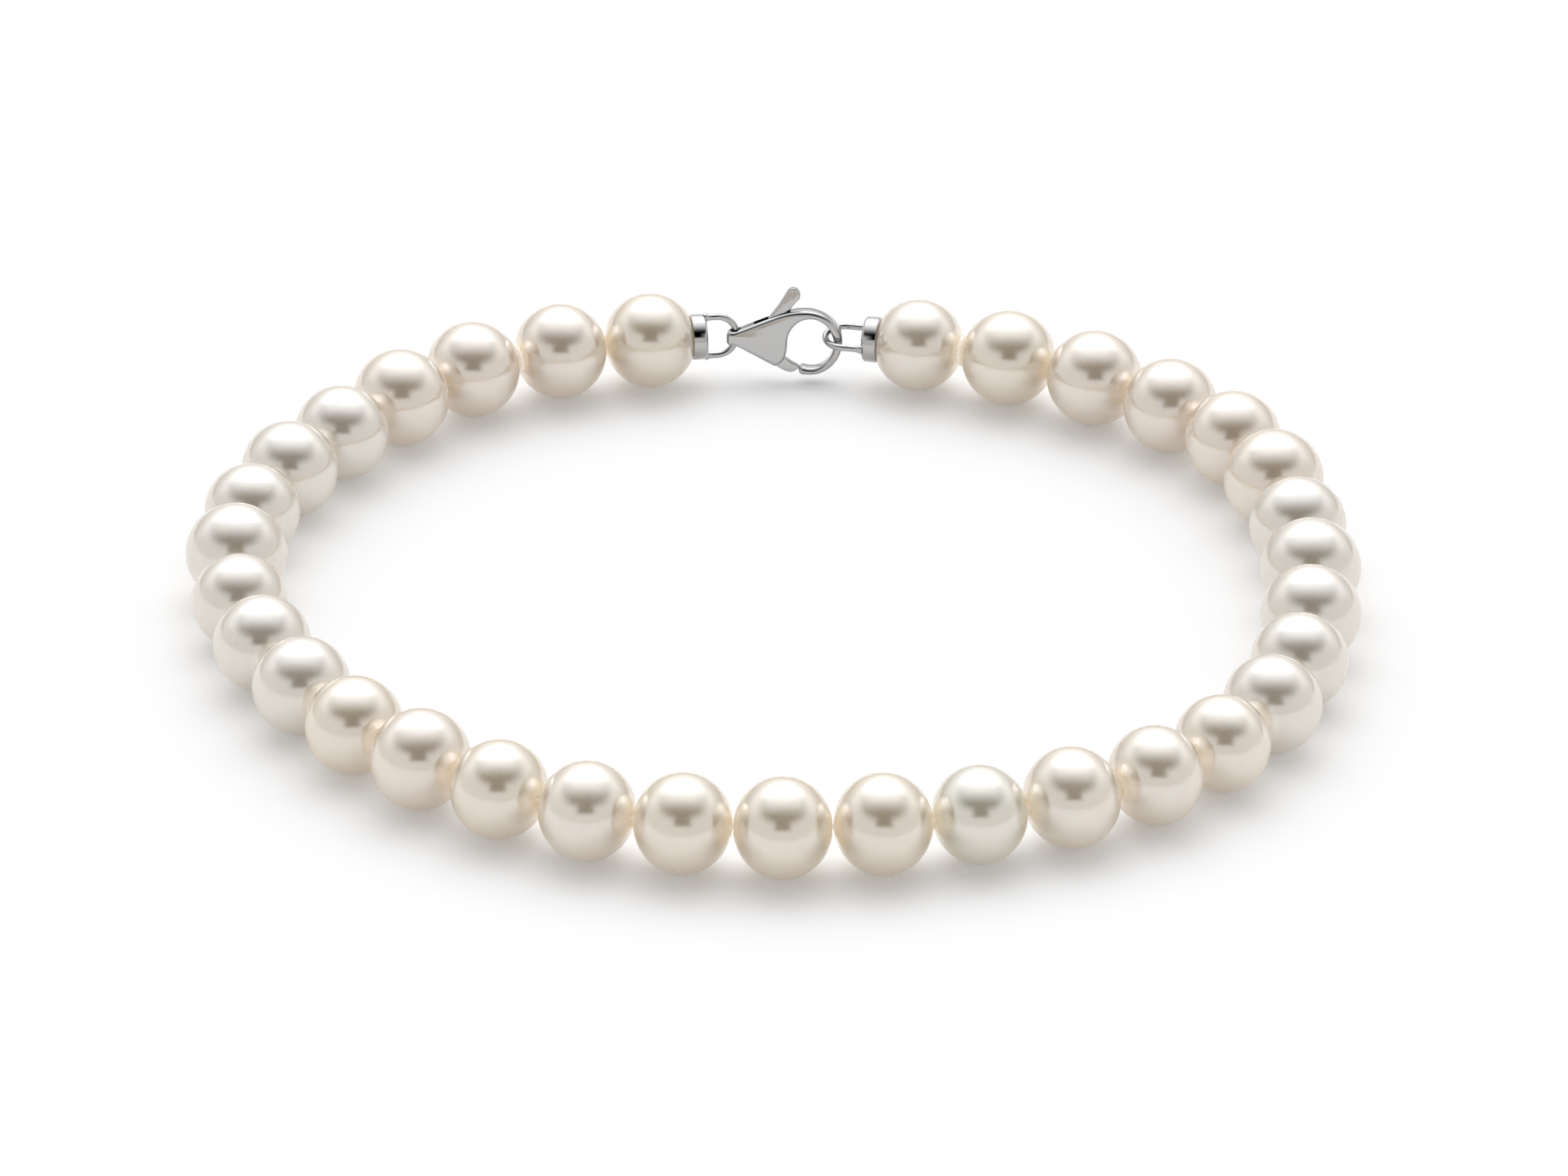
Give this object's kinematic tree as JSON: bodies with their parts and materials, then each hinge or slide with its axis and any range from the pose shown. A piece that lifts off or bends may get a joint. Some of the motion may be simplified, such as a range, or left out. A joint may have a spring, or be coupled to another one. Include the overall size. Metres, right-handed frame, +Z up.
{
  "type": "pearl bracelet",
  "caption": "Single-strand pearl bracelet lying closed: near-round pearls on silk, two cupped end caps and a small lobster clasp whose lever opens the claw.",
  "frame": {"origin": "on the surface that the bracelet lies on, under the middle of its bounding box", "axes": "+X to the right along the clasp, from the eye towards the hook ring; +Y towards the back, where the clasp is; +Z up, through the loop"},
  "size_m": [0.0634, 0.0606, 0.0055],
  "materials": {
    "pearl": "lustrous warm white nacre",
    "silk": "twisted white silk",
    "white_metal": "polished white metal"
  },
  "bodies": {
    "bracelet": {"pearl_01": "pearl", "pearl_02": "pearl", "pearl_03": "pearl", "pearl_04": "pearl", "pearl_05": "pearl", "pearl_06": "pearl", "pearl_07": "pearl", "pearl_08": "pearl", "pearl_09": "pearl", "pearl_10": "pearl", "pearl_11": "pearl", "pearl_12": "pearl", "pearl_13": "pearl", "pearl_14": "pearl", "pearl_15": "pearl", "pearl_16": "pearl", "pearl_17": "pearl", "pearl_18": "pearl", "pearl_19": "pearl", "pearl_20": "pearl", "pearl_21": "pearl", "pearl_22": "pearl", "pearl_23": "pearl", "pearl_24": "pearl", "pearl_25": "pearl", "pearl_26": "pearl", "pearl_27": "pearl", "pearl_28": "pearl", "pearl_29": "pearl", "pearl_30": "pearl", "pearl_31": "pearl", "pearl_32": "pearl", "pearl_33": "pearl", "thread": "silk", "end_cap_left": "white_metal", "end_cap_right": "white_metal", "clasp_body": "white_metal"},
    "lever": {"clasp_lever": "white_metal"}
  },
  "joints": [
    {"name": "lever_hinge", "type": "hinge", "parent": "bracelet", "child": "lever", "pos_m": [-0.0002, 0.02818, 0.00179], "axis": [-0.0378, -0.9841, 0.1736], "range_deg": [0, 22], "stiffness_Nm_per_rad": 0.002, "springref_deg": -17.19}
  ]
}
